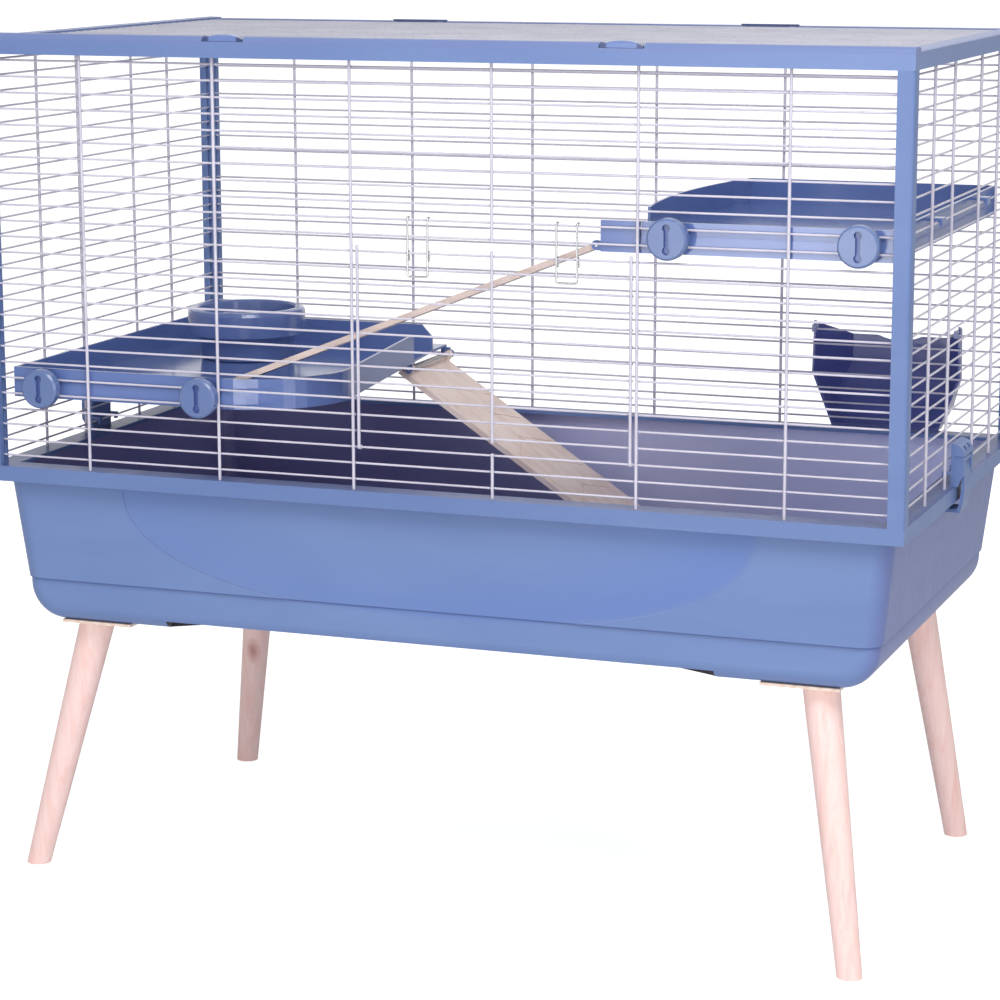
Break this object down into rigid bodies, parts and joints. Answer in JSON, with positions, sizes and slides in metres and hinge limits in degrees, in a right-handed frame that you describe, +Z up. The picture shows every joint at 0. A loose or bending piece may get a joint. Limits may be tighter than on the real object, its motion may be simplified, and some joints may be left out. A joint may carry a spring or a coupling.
{
  "type": "ferret cage",
  "caption": "Wire small-pet cage on four slanted wooden legs, with a moulded tray, opening roof, front door, two shelves, two ramps, bowl and hay rack.",
  "frame": {"origin": "floor plane, middle of the box round the whole cage, knobs and hay rack included", "axes": "+X along the cage to the right as seen from the front, +Y to the back, +Z up; the front with the door faces -Y"},
  "size_m": [1.017, 0.6244, 0.9255],
  "materials": {
    "tray_blue": "satin",
    "frame_blue": "satin",
    "shelf_blue": "satin",
    "rack_blue": "satin",
    "wire": "gloss",
    "steel": "satin",
    "leg_wood": "satin",
    "board_wood": "matte",
    "ramp_wood": "matte"
  },
  "bodies": {
    "cage": {"tray": "tray_blue", "lower_frame": "frame_blue", "top_frame": "frame_blue", "post_front_left": "frame_blue", "post_front_right": "frame_blue", "post_rear_left": "frame_blue", "post_rear_right": "frame_blue", "front_panel": "wire", "rear_panel": "wire", "left_panel": "wire", "right_panel": "wire", "lid_hinges": "frame_blue", "clip_bases": "frame_blue", "lower_shelf": "shelf_blue", "upper_shelf": "shelf_blue", "long_ramp_pin": "steel", "short_ramp_pin": "steel", "leg_front_left": "leg_wood", "leg_front_right": "leg_wood", "leg_rear_left": "leg_wood", "leg_rear_right": "leg_wood", "stand_board_left": "board_wood", "stand_board_right": "board_wood", "leg_bolts": "steel", "tray_screws": "steel"},
    "roof_lid": {"roof_lid": "wire"},
    "lid_latch_left": {"lid_latch_left": "frame_blue"},
    "lid_latch_right": {"lid_latch_right": "frame_blue"},
    "front_door": {"front_door": "wire"},
    "door_latch_left": {"door_latch_left": "wire"},
    "door_latch_right": {"door_latch_right": "wire"},
    "clip_left": {"clip_left": "frame_blue"},
    "clip_right": {"clip_right": "frame_blue"},
    "knob_lower_left": {"knob_lower_left": "frame_blue"},
    "knob_lower_right": {"knob_lower_right": "frame_blue"},
    "knob_upper_left": {"knob_upper_left": "frame_blue"},
    "knob_upper_right": {"knob_upper_right": "frame_blue"},
    "long_ramp": {"long_ramp": "ramp_wood"},
    "short_ramp": {"short_ramp": "ramp_wood"},
    "bowl": {"bowl": "shelf_blue"},
    "hay_rack": {"hay_rack": "rack_blue"}
  },
  "joints": [
    {"name": "lid_hinge", "type": "hinge", "parent": "cage", "child": "roof_lid", "pos_m": [0, 0.21718, 0.9141], "axis": [-1, 0, 0], "range_deg": [0, 100]},
    {"name": "lid_latch_left_slide", "type": "slide", "parent": "cage", "child": "lid_latch_left", "axis": [0, 1, 0], "range_m": [0, 0.007]},
    {"name": "lid_latch_right_slide", "type": "slide", "parent": "cage", "child": "lid_latch_right", "axis": [0, 1, 0], "range_m": [0, 0.007]},
    {"name": "front_door_hinge", "type": "hinge", "parent": "cage", "child": "front_door", "pos_m": [0.07585, -0.29583, 0.5099], "axis": [1, 0, 0], "range_deg": [0, 130]},
    {"name": "door_latch_left_slide", "type": "slide", "parent": "front_door", "child": "door_latch_left", "axis": [0, 0, 1], "range_m": [0, 0.006]},
    {"name": "door_latch_right_slide", "type": "slide", "parent": "front_door", "child": "door_latch_right", "axis": [0, 0, 1], "range_m": [0, 0.006]},
    {"name": "clip_right_hinge", "type": "hinge", "parent": "cage", "child": "clip_right", "pos_m": [0.5045, -0.05382, 0.4927], "axis": [0, -1, 0], "range_deg": [0, 50]},
    {"name": "clip_left_hinge", "type": "hinge", "parent": "cage", "child": "clip_left", "pos_m": [-0.5045, -0.05382, 0.4927], "axis": [0, 1, 0], "range_deg": [0, 50]},
    {"name": "knob_lower_left_turn", "type": "hinge", "parent": "cage", "child": "knob_lower_left", "pos_m": [-0.4316, -0.30883, 0.55178], "axis": [0, 1, 0], "range_deg": [0, 90]},
    {"name": "knob_lower_right_turn", "type": "hinge", "parent": "cage", "child": "knob_lower_right", "pos_m": [-0.2467, -0.30883, 0.55178], "axis": [0, 1, 0], "range_deg": [0, 90]},
    {"name": "knob_upper_left_turn", "type": "hinge", "parent": "cage", "child": "knob_upper_left", "pos_m": [0.2607, -0.30883, 0.73603], "axis": [0, 1, 0], "range_deg": [0, 90]},
    {"name": "knob_upper_right_turn", "type": "hinge", "parent": "cage", "child": "knob_upper_right", "pos_m": [0.45, -0.30883, 0.73603], "axis": [0, 1, 0], "range_deg": [0, 90]},
    {"name": "long_ramp_hinge", "type": "hinge", "parent": "cage", "child": "long_ramp", "pos_m": [0.1807, -0.21982, 0.72503], "axis": [0, 1, 0], "range_deg": [0, 25]},
    {"name": "short_ramp_hinge", "type": "hinge", "parent": "cage", "child": "short_ramp", "pos_m": [-0.163, 0.13018, 0.53228], "axis": [0, -1, 0], "range_deg": [0, 30]},
    {"name": "bowl_lift", "type": "slide", "parent": "cage", "child": "bowl", "axis": [0, 0, 1], "range_m": [0, 0.1]},
    {"name": "hay_rack_lift", "type": "slide", "parent": "cage", "child": "hay_rack", "axis": [0, 0, 1], "range_m": [0, 0.009]}
  ]
}
